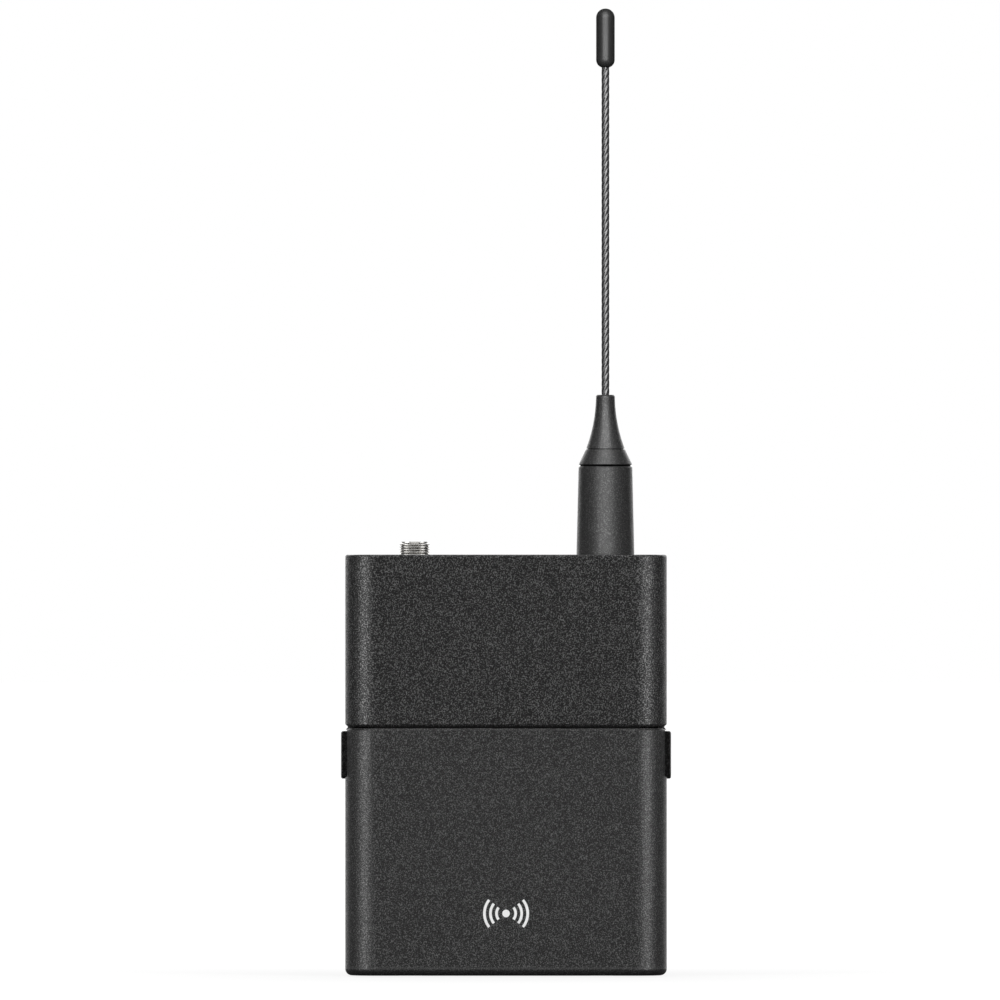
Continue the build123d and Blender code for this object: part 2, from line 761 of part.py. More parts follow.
def contact_places():
    """Where the three charging contacts are, across the bottom."""
    return (-contact_spacing, 0.0, contact_spacing)


def charge_contacts():
    """Three gold-plated pins, set a little into the bottom."""
    pins = []
    for x in contact_places():
        pins.append(rod(x, contact_y, 0.15, wall + 0.05, contact_radius))
    return Compound(children=pins)


parts = {
    "rear_shell": rear_shell(),
    "front_shell": front_shell(),
    "top_panel": top_panel(),
    "battery_cover": battery_cover(),
    "battery_pad": battery_pad(),
    "hinge_pin": hinge_pin(),
    "catch_right": catch_right(),
    "catch_left": mirrored(catch_right()),
    "catch_spring_right": catch_spring_right(),
    "catch_spring_left": mirrored(catch_spring_right()),
    "battery_upper": cell(cell_high_z, 1),
    "battery_lower": cell(cell_low_z, -1),
    "series_link_plate": series_link_plate(),
    "contact_plate_plus": contact_plate(cell_high_z, 12, 1) + solder_tail(*positive_tail),
    "contact_plate_minus": contact_plate(cell_low_z, 12, 1) + solder_tail(*negative_tail),
    "contact_spring_upper": contact_spring(cell_high_z, -1),
    "contact_spring_lower": contact_spring(cell_low_z, 1),
    "inner_frame": inner_frame(),
    "control_fascia": control_fascia(),
    "power_button": button(-button_x),
    "sync_button": button(button_x),
    "status_lens": status_lens(),
    "tact_switches": tact_switches(),
    "main_pcb": main_pcb(),
    "rf_shield": rf_shield(),
    "ic_packages": ic_packages(),
    "passives": passives(),
    "crystal": crystal(),
    "lead_connector": lead_connector(),
    "lead_positive": lead(*positive_tail),
    "lead_negative": lead(*negative_tail),
    "led_chips": led_chips(),
    "jack_bushing": jack_bushing(),
    "jack_body": jack_body(),
    "jack_contacts": jack_contacts(),
    "jack_seal": jack_seal(),
    "mute_knob": mute_knob(),
    "mute_switch_body": mute_switch_body(),
    "link_light_pipe": link_light_pipe(),
    "antenna_base": antenna_base(),
    "antenna_seal": antenna_seal(),
    "antenna_ring": antenna_ring(),
    "antenna_boot": antenna_boot(),
    "antenna_core": antenna_core(),
    "antenna_nut": antenna_nut(),
    "antenna_washer": antenna_washer(),
    "antenna_feed_clip": antenna_feed_clip(),
    "antenna_whip": antenna_whip(),
    "antenna_tip": antenna_tip(),
    "belt_clip": belt_clip(),
    "rear_label": rear_label(),
    "housing_screws": housing_screws(),
    "threaded_inserts": threaded_inserts(),
    "frame_screws": frame_screws(),
    "pcb_screws": pcb_screws(),
    "charge_contacts": charge_contacts(),
}

os.makedirs("parts", exist_ok=True)
for name, piece in parts.items():
    export_step(piece, f"parts/{name}.step")
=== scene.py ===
import json
import math

import bmesh
import bpy
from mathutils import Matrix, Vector

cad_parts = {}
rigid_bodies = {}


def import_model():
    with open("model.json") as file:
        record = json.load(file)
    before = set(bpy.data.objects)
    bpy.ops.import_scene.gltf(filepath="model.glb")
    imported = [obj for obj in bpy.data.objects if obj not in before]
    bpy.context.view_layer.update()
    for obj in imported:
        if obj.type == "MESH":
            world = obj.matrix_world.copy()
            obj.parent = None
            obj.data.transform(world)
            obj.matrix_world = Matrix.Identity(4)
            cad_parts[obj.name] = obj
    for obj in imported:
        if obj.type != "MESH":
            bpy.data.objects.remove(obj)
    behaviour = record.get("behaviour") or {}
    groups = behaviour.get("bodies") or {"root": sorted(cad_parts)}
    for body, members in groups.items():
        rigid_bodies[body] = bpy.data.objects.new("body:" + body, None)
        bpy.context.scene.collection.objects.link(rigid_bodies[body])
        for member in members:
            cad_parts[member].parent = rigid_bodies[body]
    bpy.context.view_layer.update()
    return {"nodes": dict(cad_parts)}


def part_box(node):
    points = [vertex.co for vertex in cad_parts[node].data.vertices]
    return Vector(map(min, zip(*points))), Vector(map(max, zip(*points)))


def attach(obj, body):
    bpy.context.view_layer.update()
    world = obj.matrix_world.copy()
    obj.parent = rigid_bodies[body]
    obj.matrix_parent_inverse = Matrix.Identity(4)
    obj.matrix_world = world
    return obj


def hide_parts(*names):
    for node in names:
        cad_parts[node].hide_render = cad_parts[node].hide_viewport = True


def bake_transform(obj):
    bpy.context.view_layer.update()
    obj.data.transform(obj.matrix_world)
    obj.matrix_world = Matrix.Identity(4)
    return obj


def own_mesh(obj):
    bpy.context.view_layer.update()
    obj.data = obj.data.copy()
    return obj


# The looks of the wireless bodypack transmitter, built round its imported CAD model, in metres.

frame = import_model()
nodes = frame["nodes"]
MM = 0.001


# ---- node helpers ----
def add(tree, kind, links=None, **settings):
    """Adds a shader node; links holds its inputs as sockets to join or as plain values."""
    node = tree.nodes.new(kind)
    for key, value in settings.items():
        setattr(node, key, value)
    for key, source in (links or {}).items():
        if isinstance(source, bpy.types.NodeSocket):
            tree.links.new(source, node.inputs[key])
        else:
            node.inputs[key].default_value = source
    return node


def principled(name, color, roughness, metallic=0.0, **sockets):
    """A material whose uniform values sit on the shader's own sockets."""
    material = bpy.data.materials.new(name)
    material.use_nodes = True
    material.diffuse_color = (*color, 1)
    tree = material.node_tree
    shader = tree.nodes["Principled BSDF"]
    shader.inputs["Base Color"].default_value = (*color, 1)
    shader.inputs["Roughness"].default_value = roughness
    shader.inputs["Metallic"].default_value = metallic
    for key, value in sockets.items():
        shader.inputs[key.replace("_", " ")].default_value = value
    return material, tree, shader


def place(tree, stretch=(1, 1, 1)):
    """The point on the piece, in millimetres, stretched along each axis."""
    coords = add(tree, "ShaderNodeTexCoord")
    factors = tuple(1000 * s for s in stretch)
    links = {0: coords.outputs["Object"], 1: factors}
    return add(tree, "ShaderNodeVectorMath", links, operation="MULTIPLY").outputs[0]


def noise(tree, vector, size, detail=2.0):
    """Noise with features about that many millimetres across."""
    links = {"Vector": vector, "Scale": 1 / size, "Detail": detail}
    return add(tree, "ShaderNodeTexNoise", links).outputs["Fac"]


def cells(tree, vector, size):
    """Distance to the nearest of scattered points, about that many millimetres apart."""
    links = {"Vector": vector, "Scale": 1 / size}
    return add(tree, "ShaderNodeTexVoronoi", links, feature="F1").outputs["Distance"]


def maths(tree, operation, a, b=0.0, c=0.0):
    """One arithmetic step."""
    return add(tree, "ShaderNodeMath", {0: a, 1: b, 2: c}, operation=operation).outputs[0]


def spread(tree, source, low, high, to_low=0.0, to_high=1.0):
    """Maps a range of values to another, held at its ends."""
    links = {0: source, 1: low, 2: high, 3: to_low, 4: to_high}
    return add(tree, "ShaderNodeMapRange", links).outputs[0]


def ramp(tree, source, stops):
    """A colour for each value, from (value, colour) stops."""
    node = add(tree, "ShaderNodeValToRGB", {"Fac": source})
    elements = node.color_ramp.elements
    while len(elements) < len(stops):
        elements.new(0.5)
    for element, (position, color) in zip(elements, stops):
        element.position = position
        element.color = (*color, 1)
    return node.outputs["Color"]


def blend_colors(tree, factor, a, b):
    """Colour a where the factor is 0, b where it is 1."""
    node = add(tree, "ShaderNodeMix", {"Factor": factor}, data_type="RGBA")
    for index, source in ((6, a), (7, b)):
        if isinstance(source, bpy.types.NodeSocket):
            tree.links.new(source, node.inputs[index])
        else:
            node.inputs[index].default_value = (*source, 1)
    return node.outputs[2]


def relief(tree, shader, height, depth):
    """Bumps of a depth in millimetres."""
    links = {"Height": height, "Distance": depth * MM, "Strength": 1.0}
    normal = add(tree, "ShaderNodeBump", links).outputs["Normal"]
    tree.links.new(normal, shader.inputs["Normal"])


def shaded(color, factor):
    """A lighter or darker shade of a colour."""
    return [factor * v for v in color]


def grey(level):
    """A neutral colour."""
    return (level,) * 3


def rim_fade(tree, shader, start, end, level):
    """Gloss that is full on faces square to the view and gone on those seen edge on."""
    facing = add(tree, "ShaderNodeLayerWeight", {"Blend": 0.5}).outputs["Facing"]
    tree.links.new(spread(tree, facing, start, end, level, 0.0), shader.inputs["Specular IOR Level"])


def edges(tree, radius):
    """1 along sharp edges, 0 on open faces."""
    rounded = add(tree, "ShaderNodeBevel", {"Radius": radius * MM}, samples=4)
    geometry = add(tree, "ShaderNodeNewGeometry")
    links = {0: rounded.outputs[0], 1: geometry.outputs["Normal"]}
    facing = add(tree, "ShaderNodeVectorMath", links, operation="DOT_PRODUCT").outputs["Value"]
    return spread(tree, facing, 0.98, 0.8)


# ---- materials ----
def textured_plastic(name, color, grain, depth, roughness, contrast, gloss=0.45):
    """Spark-textured moulded plastic: fine rounded grains, glossier on their crests, with painted
    glints lighting the crests and painted shade darkening the pits.

    The grain's size and its depth are in millimetres; contrast is how far pits and crests differ, in
    gloss and in their painted shade and glints.
    """
    material, tree, shader = principled(name, color, roughness)
    point = place(tree)
    grains = noise(tree, point, grain, detail=0.5)
    patches = noise(tree, point, grain * 16, detail=2.0)
    uneven_grains = maths(tree, "MULTIPLY_ADD", patches, 0.04, grains)
    pit_level, crest_level = 0.4, 0.75
    tone = spread(tree, uneven_grains, pit_level, crest_level)
    # Painted shade darkens the pits and painted glints lighten the crests, following the bump height.
    painted_pit_shade = shaded(color, 1 - 0.6 * contrast)
    painted_crest_glint = shaded(color, 1 + 7 * contrast)
    shade = ramp(tree, tone, ((0.0, painted_pit_shade), (0.45, color), (1.0, painted_crest_glint)))
    # Sharp edges lightened in patches: partly wear, partly a painted highlight along the edges.
    edge_radius, strongest_edge_lightening = 0.25, 0.3
    patchy_wear_and_highlight = spread(tree, patches, 0.35, 0.7, 0.0, strongest_edge_lightening)
    edge_wear_and_highlight = maths(tree, "MULTIPLY", edges(tree, edge_radius), patchy_wear_and_highlight)
    shade = blend_colors(tree, edge_wear_and_highlight, shade, shaded(color, 3))
    tree.links.new(shade, shader.inputs["Base Color"])
    matt = spread(tree, tone, 0.2, 0.9, roughness + 0.05, roughness - 0.05)
    tree.links.new(matt, shader.inputs["Roughness"])
    shine = spread(tree, tone, 0.1, 0.9, gloss - 0.2 * contrast, gloss + 0.25 * contrast)
    tree.links.new(shine, shader.inputs["Specular IOR Level"])
    relief(tree, shader, grains, depth)
    return material, tree, shader


def printed_mark(tree, shader):
    """A plain radio-wave sign in white ink, low on the cover: a dot between pairs of arcs."""
    mark_height, dot_radius, half_stroke = 12.4, 0.75, 0.27
    arc_radii, arc_slope = (1.9, 3.1, 4.3), 1.25
    behind_face = -9.9
    point = add(tree, "ShaderNodeSeparateXYZ", {0: place(tree)})
    across, back, up = point.outputs
    across = maths(tree, "ABSOLUTE", across)
    up = maths(tree, "ABSOLUTE", maths(tree, "SUBTRACT", up, mark_height))
    squares = maths(tree, "ADD", maths(tree, "POWER", across, 2), maths(tree, "POWER", up, 2))
    distance = maths(tree, "SQRT", squares)
    sideways = maths(tree, "GREATER_THAN", across, maths(tree, "MULTIPLY", up, arc_slope))
    mark = maths(tree, "LESS_THAN", distance, dot_radius)
    for radius in arc_radii:
        off = maths(tree, "ABSOLUTE", maths(tree, "SUBTRACT", distance, radius))
        ring = maths(tree, "LESS_THAN", off, half_stroke)
        mark = maths(tree, "MAXIMUM", mark, maths(tree, "MULTIPLY", ring, sideways))
    front = maths(tree, "LESS_THAN", back, behind_face)
    mark = maths(tree, "MULTIPLY", mark, front)
    color = shader.inputs["Base Color"].links[0].from_socket
    tree.links.new(blend_colors(tree, mark, color, grey(0.72)), shader.inputs["Base Color"])


def foot_band(tree, shader):
    """A painted highlight line round the foot, and below it painted shade over plainer, less glossy
    plastic.
    """
    line_height = 1.5
    up = add(tree, "ShaderNodeSeparateXYZ", {0: place(tree)}).outputs[2]
    off_line = maths(tree, "ABSOLUTE", maths(tree, "SUBTRACT", up, line_height))
    # Painted highlight: a lighter line round the top of the foot's rounding.
    painted_highlight_line = spread(tree, off_line, 0.1, 0.35, 0.5, 0.0)
    # Painted shade: the rounding below the line is darker and less glossy.
    painted_foot_shade = spread(tree, up, line_height - 0.45, line_height - 0.1, 0.7, 0.0)
    color = shader.inputs["Base Color"].links[0].from_socket
    color = blend_colors(tree, painted_highlight_line, color, grey(0.05))
    tree.links.new(blend_colors(tree, painted_foot_shade, color, grey(0.008)), shader.inputs["Base Color"])
    shine = shader.inputs["Specular IOR Level"].links[0].from_socket
    kept = maths(tree, "MULTIPLY_ADD", painted_foot_shade, -0.35, 1.0)
    tree.links.new(maths(tree, "MULTIPLY", shine, kept), shader.inputs["Specular IOR Level"])


def satin_plastic(name, color, roughness, grain=0.16, depth=0.006):
    """Smooth moulded plastic with a faint grain."""
    material, tree, shader = principled(name, color, roughness)
    point = place(tree)
    grains = noise(tree, point, grain, detail=2.0)
    smudge = noise(tree, point, 6.0, detail=3.0)
    shade = ramp(tree, grains, ((0.3, shaded(color, 0.7)), (0.7, shaded(color, 1.35))))
    tree.links.new(shade, shader.inputs["Base Color"])
    matt = spread(tree, smudge, 0.3, 0.7, roughness - 0.05, roughness + 0.07)
    tree.links.new(matt, shader.inputs["Roughness"])
    relief(tree, shader, grains, depth)
    return material


def tip_plastic(name):
    """The smooth cap of the aerial: satin in the middle, matt black toward its sides."""
    material = satin_plastic(name, grey(0.015), 0.36, 0.2, 0.005)
    tree = material.node_tree
    rim_fade(tree, tree.nodes["Principled BSDF"], 0.12, 0.55, 0.42)
    return material


def metal(name, color, roughness, grain=(0.1, 0.1, 2.0), depth=0.002):
    """Metal with fine drawn or turned lines along the axis that the grain is long on."""
    material, tree, shader = principled(name, color, roughness, 1.0)
    lines = noise(tree, place(tree, [1 / g for g in grain]), 1.0, detail=3.0)
    tarnish = noise(tree, place(tree), 2.5, detail=4.0)
    shade = ramp(tree, tarnish, ((0.3, shaded(color, 0.8)), (0.65, color)))
    tree.links.new(shade, shader.inputs["Base Color"])
    matt = spread(tree, lines, 0.3, 0.7, roughness - 0.08, roughness + 0.12)
    tree.links.new(matt, shader.inputs["Roughness"])
    relief(tree, shader, lines, depth)
    return material


def rubber(name, color, roughness=0.75, grain=0.25, depth=0.01):
    """Matt rubber with a soft sheen."""
    material, tree, shader = principled(name, color, roughness, Sheen_Weight=0.15, Sheen_Roughness=0.5)
    grains = noise(tree, place(tree), grain, detail=3.0)
    shade = ramp(tree, grains, ((0.25, shaded(color, 0.75)), (0.75, shaded(color, 1.3))))
    tree.links.new(shade, shader.inputs["Base Color"])
    relief(tree, shader, grains, depth)
    return material


def foam(name):
    """Open-cell foam, with painted shade darkening its pores."""
    material, tree, shader = principled(name, (0.05, 0.05, 0.053), 0.95, Sheen_Weight=0.3)
    pores = cells(tree, place(tree), 0.45)
    # Painted shade: the pores, the low points of the bump, are darker.
    shade = ramp(tree, pores, ((0.1, (0.015, 0.015, 0.016)), (0.6, (0.085, 0.085, 0.09))))
    tree.links.new(shade, shader.inputs["Base Color"])
    relief(tree, shader, pores, 0.12)
    return material


def clear(name, tint, roughness=0.08):
    """Clear plastic."""
    material, tree, shader = principled(name, tint, roughness, Transmission_Weight=0.85, IOR=1.49)
    haze = noise(tree, place(tree), 1.2, detail=3.0)
    tree.links.new(spread(tree, haze, 0.3, 0.7, roughness, roughness + 0.1), shader.inputs["Roughness"])
    return material


def circuit_board(name):
    """Green solder mask over copper tracks, with tinned dots."""
    material, tree, shader = principled(name, (0.012, 0.09, 0.05), 0.32, Coat_Weight=0.3)
    point = place(tree)
    links = {"Vector": place(tree, (0.5, 0.5, 0.5)), "Scale": 1.0, "Mortar Size": 0.08}
    tracks = add(tree, "ShaderNodeTexBrick", links, offset=0.35)
    tracks.inputs["Color1"].default_value = (0.010, 0.075, 0.042, 1)
    tracks.inputs["Color2"].default_value = (0.014, 0.10, 0.055, 1)
    tracks.inputs["Mortar"].default_value = (0.03, 0.17, 0.08, 1)
    vias = spread(tree, cells(tree, point, 2.6), 0.13, 0.11)
    color = blend_colors(tree, vias, tracks.outputs["Color"], (0.65, 0.62, 0.55))
    tree.links.new(color, shader.inputs["Base Color"])
    tree.links.new(vias, shader.inputs["Metallic"])
    relief(tree, shader, tracks.outputs["Fac"], 0.02)
    return material


def cell_wrap(name, plus_side):
    """A plain cell's wrapper: dark body, copper-coloured band and bare steel at both ends.

    The plus side is 1 for a cell whose plus end is toward +X, and -1 for the other way round.
    """
    stripe_place, half_stripe, band_start = 11.0, 0.4, 12.0
    plus_end, minus_end = 25.7, -22.9
    bare_steel = grey(0.6)
    material, tree, shader = principled(name, (0.03, 0.03, 0.035), 0.25, Coat_Weight=0.5)
    across = add(tree, "ShaderNodeSeparateXYZ", {0: place(tree)}).outputs[0]
    along = maths(tree, "MULTIPLY", across, plus_side)
    scuffs = noise(tree, place(tree, (0.3, 1, 1)), 0.8, detail=4.0)
    body = ramp(tree, scuffs, ((0.3, (0.022, 0.022, 0.026)), (0.75, (0.045, 0.045, 0.05))))
    band = maths(tree, "GREATER_THAN", along, band_start)
    color = blend_colors(tree, band, body, (0.42, 0.17, 0.06))
    off_stripe = maths(tree, "ABSOLUTE", maths(tree, "SUBTRACT", along, stripe_place))
    stripe = maths(tree, "LESS_THAN", off_stripe, half_stripe)
    color = blend_colors(tree, stripe, color, bare_steel)
    top = maths(tree, "GREATER_THAN", along, plus_end)
    bottom = maths(tree, "LESS_THAN", along, minus_end)
    bare = maths(tree, "MAXIMUM", top, bottom)
    tree.links.new(blend_colors(tree, bare, color, bare_steel), shader.inputs["Base Color"])
    metallic = maths(tree, "MAXIMUM", bare, maths(tree, "MULTIPLY", band, 0.7))
    tree.links.new(metallic, shader.inputs["Metallic"])
    relief(tree, shader, scuffs, 0.01)
    return material


def blank_label(name):
    """Dark foil label with a thin border and two ruled lines, and no text."""
    middle_height, border_across, border_up = 41.0, 10.2, 15.7
    rule_up, rule_across = 7.0, 8.6
    material, tree, shader = principled(name, (0.03, 0.03, 0.031), 0.35)
    point = add(tree, "ShaderNodeSeparateXYZ", {0: place(tree)})
    across = maths(tree, "ABSOLUTE", point.outputs[0])
    up = maths(tree, "ABSOLUTE", maths(tree, "SUBTRACT", point.outputs[2], middle_height))
    off_side = maths(tree, "SUBTRACT", across, border_across)
    off_end = maths(tree, "SUBTRACT", up, border_up)
    inner = maths(tree, "MAXIMUM", off_side, off_end)
    border = maths(tree, "LESS_THAN", maths(tree, "ABSOLUTE", inner), 0.12)
    off_rule = maths(tree, "ABSOLUTE", maths(tree, "SUBTRACT", up, rule_up))
    rule = maths(tree, "LESS_THAN", off_rule, 0.08)
    rule = maths(tree, "MULTIPLY", rule, maths(tree, "LESS_THAN", across, rule_across))
    lines = maths(tree, "MAXIMUM", border, rule)
    fibres = noise(tree, place(tree, (1, 1, 0.2)), 0.3, detail=3.0)
    body = ramp(tree, fibres, ((0.3, (0.022, 0.022, 0.023)), (0.7, (0.036, 0.036, 0.037))))
    tree.links.new(blend_colors(tree, lines, body, grey(0.32)), shader.inputs["Base Color"])
    relief(tree, shader, fibres, 0.004)
    return material


def strand_cable(name):
    """Black lacquered wire strands, bright on their crests; the black in the grooves between them is
    painted shade.
    """
    material, tree, shader = principled(name, (0.03, 0.03, 0.03), 0.32)
    attribute = add(tree, "ShaderNodeAttribute", attribute_name="crest")
    streaks = noise(tree, place(tree, (1, 1, 0.3)), 0.2, detail=2.0)
    crest = maths(tree, "MULTIPLY_ADD", streaks, 0.25, attribute.outputs["Fac"])
    # Painted shade: near black in the grooves between the strands, lighter on their crests.
    color = ramp(tree, crest, ((0.25, (0.002, 0.002, 0.002)), (0.9, (0.035, 0.035, 0.036))))
    tree.links.new(color, shader.inputs["Base Color"])
    tree.links.new(spread(tree, streaks, 0.3, 0.7, 0.28, 0.42), shader.inputs["Roughness"])
    rim_fade(tree, shader, 0.04, 0.3, 1.0)
    relief(tree, shader, streaks, 0.006)
    return material


def dress(material, *names):
    """Puts a material on CAD nodes."""
    for name in names:
        mesh = nodes[name].data
        mesh.materials.clear()
        mesh.materials.append(material)


def dress_all():
    """Every CAD node's material."""
    shell, tree, shader = textured_plastic("shell_texture", grey(0.012), grain=0.234, depth=0.05,
                                           roughness=0.42, contrast=1.0)
    foot_band(tree, shader)
    dress(shell, "front_shell", "rear_shell")
    cover, tree, shader = textured_plastic("cover_texture", grey(0.017), grain=0.19, depth=0.035,
                                           roughness=0.42, contrast=0.64)
    foot_band(tree, shader)
    printed_mark(tree, shader)
    dress(cover, "battery_cover")
    catch = textured_plastic("catch_texture", grey(0.004), grain=0.3, depth=0.03,
                             roughness=0.55, contrast=0.4, gloss=0.16)[0]
    dress(catch, "catch_left", "catch_right")
    dress(satin_plastic("panel_plastic", grey(0.02), 0.45, 0.3, 0.012), "top_panel")
    antenna = textured_plastic("antenna_plastic", grey(0.014), grain=0.22, depth=0.02,
                               roughness=0.42, contrast=0.28)[0]
    dress(antenna, "antenna_base", "antenna_ring", "antenna_boot")
    dress(tip_plastic("tip_plastic"), "antenna_tip")
    dress(rubber("seal_rubber", grey(0.003), 0.9), "antenna_seal", "jack_seal")
    nickel = metal("nickel", (0.62, 0.61, 0.59), 0.27, (1.5, 1.5, 0.08), 0.0006)
    dress(nickel, "jack_bushing", "antenna_nut")
    dress(metal("spring_steel", (0.6, 0.6, 0.61), 0.25), "catch_spring_left", "catch_spring_right",
          "contact_spring_upper", "contact_spring_lower", "series_link_plate", "contact_plate_plus",
          "contact_plate_minus", "jack_contacts", "antenna_feed_clip")
    steel = metal("steel", (0.5, 0.5, 0.51), 0.32, (2.0, 0.1, 0.1))
    dress(steel, "hinge_pin", "antenna_washer", "frame_screws", "pcb_screws")
    dress(metal("blackened_screw", (0.05, 0.05, 0.052), 0.35), "housing_screws")
    dress(metal("blackened_wire", (0.06, 0.06, 0.062), 0.4, (0.2, 0.2, 3.0), 0.004), "belt_clip")
    dress(metal("brass", (0.62, 0.42, 0.18), 0.3), "antenna_core", "threaded_inserts")
    dress(metal("gold", (0.83, 0.58, 0.22), 0.18), "charge_contacts")
    tin = metal("tin", (0.62, 0.63, 0.64), 0.3, (2.0, 0.4, 0.4), 0.006)
    dress(tin, "rf_shield", "mute_switch_body", "crystal")
    dress(satin_plastic("frame_plastic", grey(0.045), 0.5, 0.3, 0.01), "inner_frame")
    dress(satin_plastic("fascia_plastic", grey(0.018), 0.3, 0.2, 0.004), "control_fascia")
    dress(rubber("button_rubber", grey(0.12), 0.6), "power_button", "sync_button")
    dress(clear("smoked_lens", (0.2, 0.21, 0.22)), "status_lens")
    dress(clear("light_pipe", (0.9, 0.92, 0.92)), "link_light_pipe")
    dress(circuit_board("circuit_board"), "main_pcb")
    chip = satin_plastic("chip_plastic", grey(0.015), 0.4, 0.1, 0.004)
    dress(chip, "ic_packages", "tact_switches", "jack_body")
    dress(satin_plastic("ceramic_parts", (0.3, 0.2, 0.12), 0.35, 0.2, 0.003), "passives")
    dress(satin_plastic("connector_plastic", (0.7, 0.68, 0.6), 0.4), "lead_connector")
    dress(satin_plastic("red_insulation", (0.4, 0.01, 0.01), 0.4), "lead_positive")
    dress(satin_plastic("black_insulation", grey(0.015), 0.4), "lead_negative")
    dress(satin_plastic("led_plastic", (0.8, 0.8, 0.72), 0.3), "led_chips")
    dress(satin_plastic("knob_plastic", grey(0.2), 0.45), "mute_knob")
    dress(cell_wrap("cell_wrap_upper", 1.0), "battery_upper")
    dress(cell_wrap("cell_wrap_lower", -1.0), "battery_lower")
    dress(blank_label("label_foil"), "rear_label")


# ---- pieces made here ----
def new_piece(name, mesh, material, body):
    """A piece with its material, on a CAD body unless a blend places it (body None)."""
    piece = bpy.data.objects.new(name, mesh)
    bpy.context.scene.collection.objects.link(piece)
    mesh.materials.append(material)
    for face in mesh.polygons:
        face.use_smooth = True
    if body:
        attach(piece, body)
    return piece


def whip_strands():
    """The whip as six wires laid round each other, in one lofted mesh."""
    low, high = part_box("antenna_whip")
    centre = (low + high) / 2
    radius = (high.x - low.x) / 2
    inside_boot, inside_tip = 0.5 * MM, 1.5 * MM
    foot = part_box("antenna_boot")[1].z - inside_boot
    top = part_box("antenna_tip")[0].z + inside_tip
    wires, steps_per_wire, groove_depth = 6, 8, 0.16
    crest_spacing, ring_spacing = 1.51 * MM, 0.19 * MM
    lay = wires * crest_spacing
    around = wires * steps_per_wire
    rings = int((top - foot) / ring_spacing)
    mesh = bmesh.new()
    crest_layer = mesh.verts.layers.float.new("crest")
    loops = []
    for ring in range(rings + 1):
        z = foot + (top - foot) * ring / rings
        loop = []
        for step in range(around):
            angle = 2 * math.pi * step / around
            phase = wires * (angle - 2 * math.pi * z / lay) / 2
            crest = abs(math.cos(phase)) ** 0.7
            r = radius * (1 - groove_depth * (1 - crest))
            x = centre.x + r * math.cos(angle)
            y = centre.y + r * math.sin(angle)
            vertex = mesh.verts.new((x, y, z))
            # The crest value also sets the painted shade of the grooves in the strands' material.
            vertex[crest_layer] = crest
            loop.append(vertex)
        loops.append(loop)
    for lower, upper in zip(loops, loops[1:]):
        for step in range(around):
            after = (step + 1) % around
            mesh.faces.new((lower[step], lower[after], upper[after], upper[step]))
    mesh.faces.new(loops[0][::-1])
    mesh.faces.new(loops[-1])
    data = bpy.data.meshes.new("antenna_strands")
    mesh.to_mesh(data)
    mesh.free()
    piece = new_piece("antenna_strands", data, strand_cable("whip_strands"), None)
    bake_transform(piece)
    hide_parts("antenna_whip")


def cover_foam():
    """The foam strip inside the cover: soft rounded edges, pressed a little by the cells."""
    low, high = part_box("battery_pad")
    columns, rows = 48, 14
    mesh = bmesh.new()
    bmesh.ops.create_grid(mesh, x_segments=columns, y_segments=rows, size=0.5)
    size = high - low
    middle = (low + high) / 2
    for vertex in mesh.verts:
        u, v = 2 * vertex.co.x, 2 * vertex.co.y
        inward = (1 - abs(u) ** 14) * (1 - abs(v) ** 6)
        ripple = 0.06 * math.sin(23 * u) * math.sin(9 * v + 4 * u)
        swell = max(0.0, inward) ** 0.4 * (0.88 + ripple)
        x = middle.x + u * size.x / 2
        z = middle.z + v * size.z / 2
        vertex.co = Vector((x, low.y + size.y * swell, z))
    border = [edge for edge in mesh.edges if edge.is_boundary]
    sides = bmesh.ops.extrude_edge_only(mesh, edges=border)
    back = [item for item in sides["geom"] if isinstance(item, bmesh.types.BMVert)]
    for vertex in back:
        vertex.co.y = low.y
    rim = [edge for edge in mesh.edges if edge.is_boundary]
    bmesh.ops.contextual_create(mesh, geom=rim)
    bmesh.ops.recalc_face_normals(mesh, faces=mesh.faces)
    data = bpy.data.meshes.new("cover_foam")
    mesh.to_mesh(data)
    mesh.free()
    piece = new_piece("cover_foam", data, foam("foam"), "cover")
    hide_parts("battery_pad")


def catch_springs():
    """The catches' coil springs, as pieces of their own on the housing."""
    steel = bpy.data.materials["spring_steel"]
    for side in ("left", "right"):
        node = "catch_spring_" + side
        mesh = nodes[node].data.copy()
        mesh.materials.clear()
        piece = new_piece("catch_coil_" + side, mesh, steel, "housing")
        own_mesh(piece)
        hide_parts(node)


# ---- studio ----
def make_camera():
    """Straight on from the front, from far off, so nearly without perspective."""
    view_width, distance = 0.1992, 5.0
    off_middle, height = -0.0012, 0.0946
    data = bpy.data.cameras.new("camera")
    data.sensor_width = 36.0
    data.lens = data.sensor_width * distance / view_width
    data.clip_start, data.clip_end = 0.05, 30.0
    camera = bpy.data.objects.new("camera", data)
    camera.location = (off_middle, -distance, height)
    camera.rotation_euler = (math.radians(90), 0, 0)
    bpy.context.scene.collection.objects.link(camera)
    bpy.context.scene.camera = camera


def softbox(name, azimuth, elevation, distance, size, power):
    """A rectangular lamp that faces the top of the housing; azimuth 0 is the front."""
    data = bpy.data.lights.new(name, "AREA")
    data.shape = "RECTANGLE"
    data.size, data.size_y = size
    data.energy = power
    lamp = bpy.data.objects.new(name, data)
    aim = Vector((0, 0, 0.08))
    a, e = math.radians(azimuth), math.radians(elevation)
    away = Vector((math.sin(a) * math.cos(e), -math.cos(a) * math.cos(e), math.sin(e)))
    lamp.location = aim + away * distance
    lamp.rotation_euler = away.to_track_quat("Z", "Y").to_euler()
    lamp.visible_camera = False
    bpy.context.scene.collection.objects.link(lamp)
    return lamp


def link(lamp, pieces, state):
    """Lets a lamp light only some pieces (INCLUDE) or all the others (EXCLUDE)."""
    group = bpy.data.collections.new(lamp.name + "_pieces")
    for piece in pieces:
        group.objects.link(piece)
    for item in group.collection_objects:
        item.light_linking.link_state = state
    lamp.light_linking.receiver_collection = group


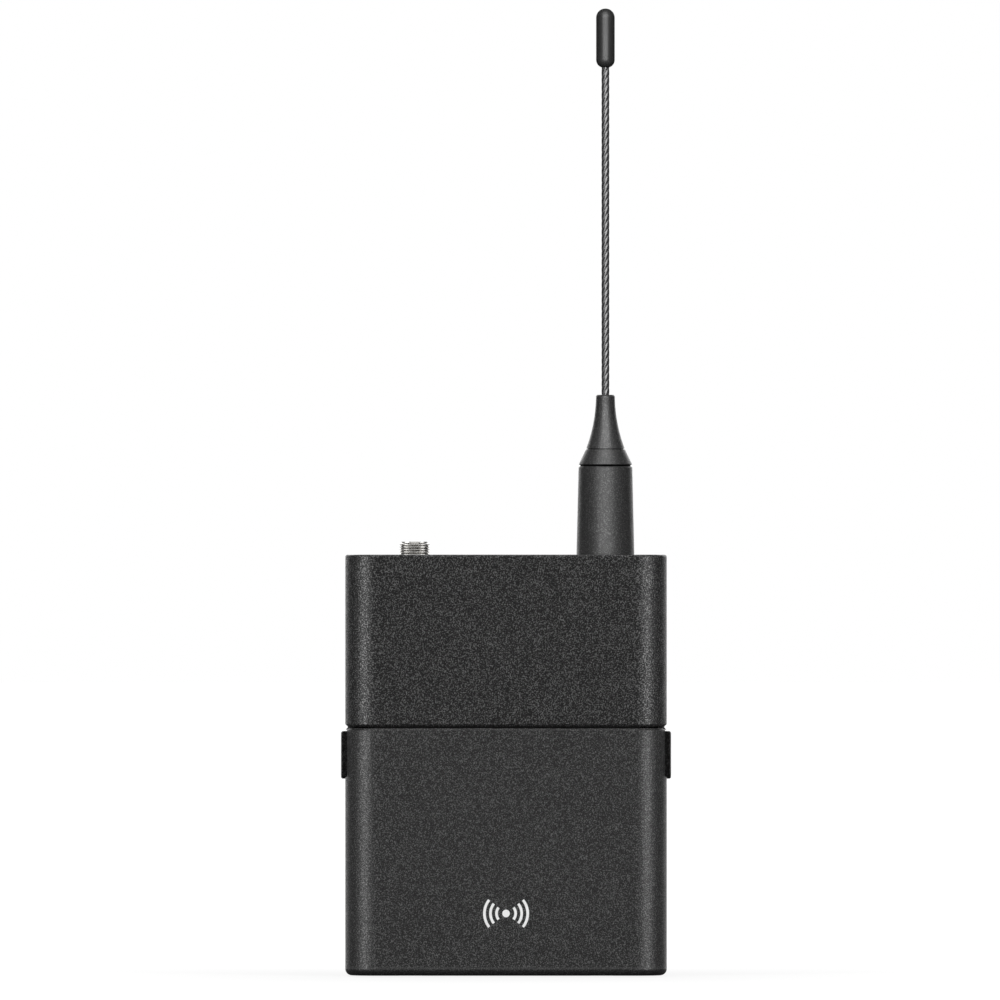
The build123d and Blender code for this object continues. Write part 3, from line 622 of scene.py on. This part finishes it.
def make_world():
    """White as seen by the camera; otherwise dark, with a white backdrop behind the object."""
    world = bpy.data.worlds.new("studio")
    world.use_nodes = True
    bpy.context.scene.world = world
    tree = world.node_tree
    coords = add(tree, "ShaderNodeTexCoord")
    direction = add(tree, "ShaderNodeSeparateXYZ", {0: coords.outputs["Generated"]})
    behind = spread(tree, direction.outputs[1], 0.58, 0.82)
    room, backdrop, white = grey(0.03), grey(2.6), grey(1.0)
    shade = blend_colors(tree, behind, room, backdrop)
    seen = add(tree, "ShaderNodeLightPath").outputs["Is Camera Ray"]
    shade = blend_colors(tree, seen, shade, white)
    tree.links.new(shade, tree.nodes["Background"].inputs["Color"])


def make_floor():
    """A pale floor: white to the camera, with a soft shadow, and dimmer in reflections."""
    floor_radius, gap = 8.0, 0.0002
    mesh = bmesh.new()
    bmesh.ops.create_circle(mesh, cap_ends=True, radius=floor_radius, segments=96)
    data = bpy.data.meshes.new("floor")
    mesh.to_mesh(data)
    mesh.free()
    floor = bpy.data.objects.new("floor", data)
    floor.location.z = -gap
    bpy.context.scene.collection.objects.link(floor)
    looks = {"Specular_IOR_Level": 0.0, "Emission_Color": (1, 1, 1, 1)}
    material, tree, shader = principled("pale_floor", grey(0.12), 0.9, **looks)
    point = add(tree, "ShaderNodeTexCoord").outputs["Object"]
    away = add(tree, "ShaderNodeVectorMath", {0: point}, operation="LENGTH").outputs["Value"]
    glow = spread(tree, away, 0.03, 0.2, 0.85, 1.0)
    seen = add(tree, "ShaderNodeLightPath").outputs["Is Camera Ray"]
    tree.links.new(maths(tree, "MULTIPLY", glow, seen), shader.inputs["Emission Strength"])
    data.materials.append(material)


def studio():
    """Camera, lamps, backdrop and floor; the aerial and the socket have lamps of their own."""
    bpy.context.scene.view_settings.view_transform = "Standard"
    make_camera()
    make_world()
    antenna = [o for o in bpy.data.objects if o.name.startswith("antenna_")]
    jack = [nodes["jack_bushing"]]
    for side in (-1, 1):
        strip = softbox("side_softbox", azimuth=48 * side, elevation=4, distance=1.2,
                        size=(0.30, 1.0), power=17.0)
        link(strip, antenna + jack, "EXCLUDE")
        jack_side = softbox("jack_side_softbox", azimuth=70 * side, elevation=12, distance=1.2,
                            size=(0.9, 1.0), power=8.0)
        link(jack_side, jack, "INCLUDE")
    softbox("top_softbox", azimuth=0, elevation=68, distance=1.2, size=(1.0, 0.6), power=6.5)
    front = softbox("front_softbox", azimuth=0, elevation=25, distance=0.9,
                    size=(1.05, 0.8), power=19.0)
    link(front, [piece for piece in antenna if piece.name != "antenna_seal"], "INCLUDE")
    jack_front = softbox("jack_softbox", azimuth=0, elevation=12, distance=0.9,
                         size=(1.6, 0.3), power=3.0)
    link(jack_front, jack, "INCLUDE")
    make_floor()


dress_all()
whip_strands()
cover_foam()
catch_springs()
studio()
